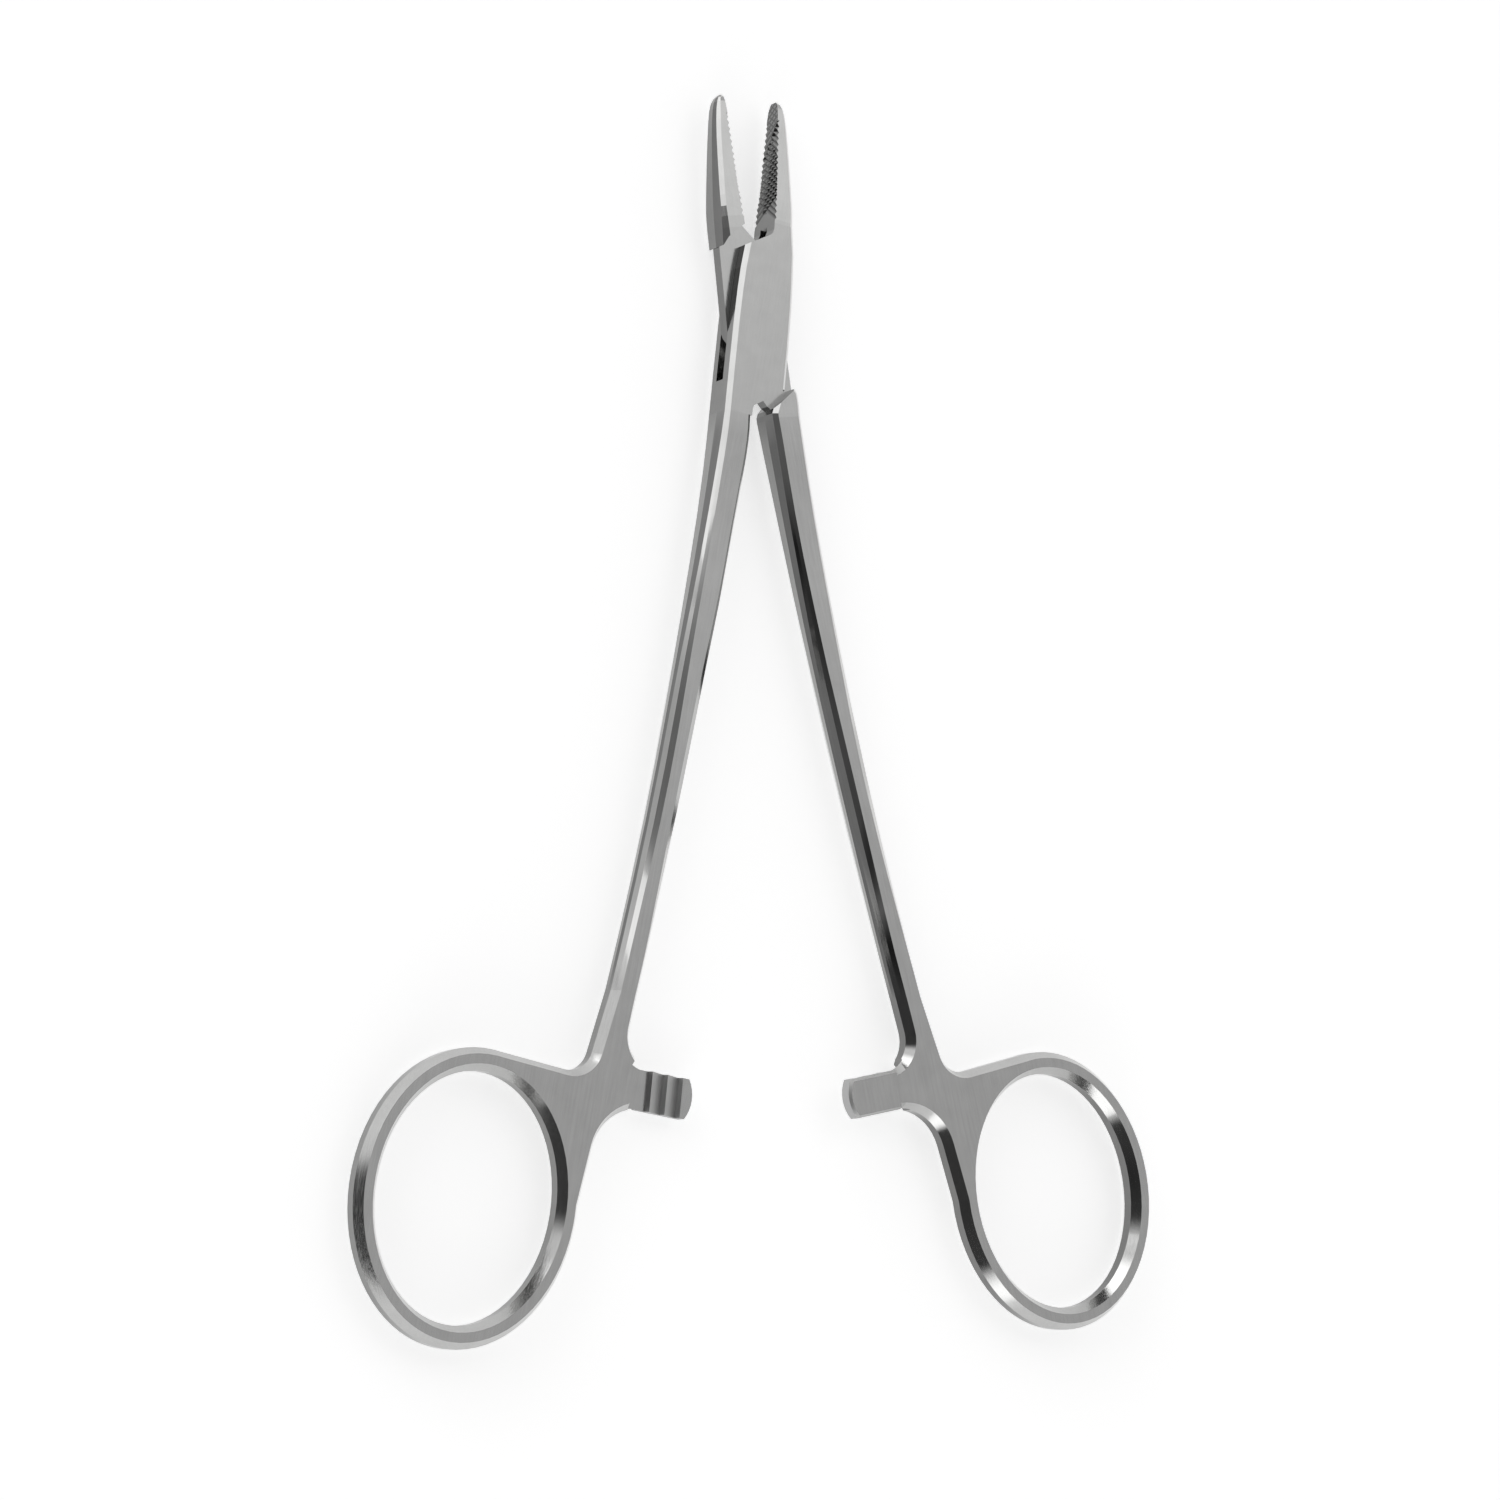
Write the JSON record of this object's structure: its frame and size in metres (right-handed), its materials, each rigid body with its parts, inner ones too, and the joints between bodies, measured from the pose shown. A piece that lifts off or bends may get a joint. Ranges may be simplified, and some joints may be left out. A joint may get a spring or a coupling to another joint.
{
  "type": "surgical needle holder",
  "caption": "Needle holder with serrated tapering jaws, box-lock pivot, slender shanks, ratchet arms and oval finger rings, for gripping and locking on a suture needle.",
  "frame": {"origin": "on the pivot pin's axis at the rear face of the box lock, which the instrument lies on", "axes": "+Y from the pivot towards the jaw tips along the midline between the halves, +X to the right ring, +Z along the pivot pin from the rear face to the front face"},
  "size_m": [0.1064, 0.1451, 0.0046],
  "materials": {
    "satin_steel": "satin, lengthwise fine grain",
    "pin_steel": "satin, ground flush"
  },
  "bodies": {
    "box_side": {"box_half": "satin_steel", "pivot_pin": "pin_steel"},
    "tongue_side": {"tongue_half": "satin_steel"}
  },
  "joints": [
    {"name": "box_lock_pivot", "type": "hinge", "parent": "box_side", "child": "tongue_side", "pos_m": [0, 0, 0], "axis": [0, 0, 1], "range_deg": [-15.2, 40]}
  ]
}
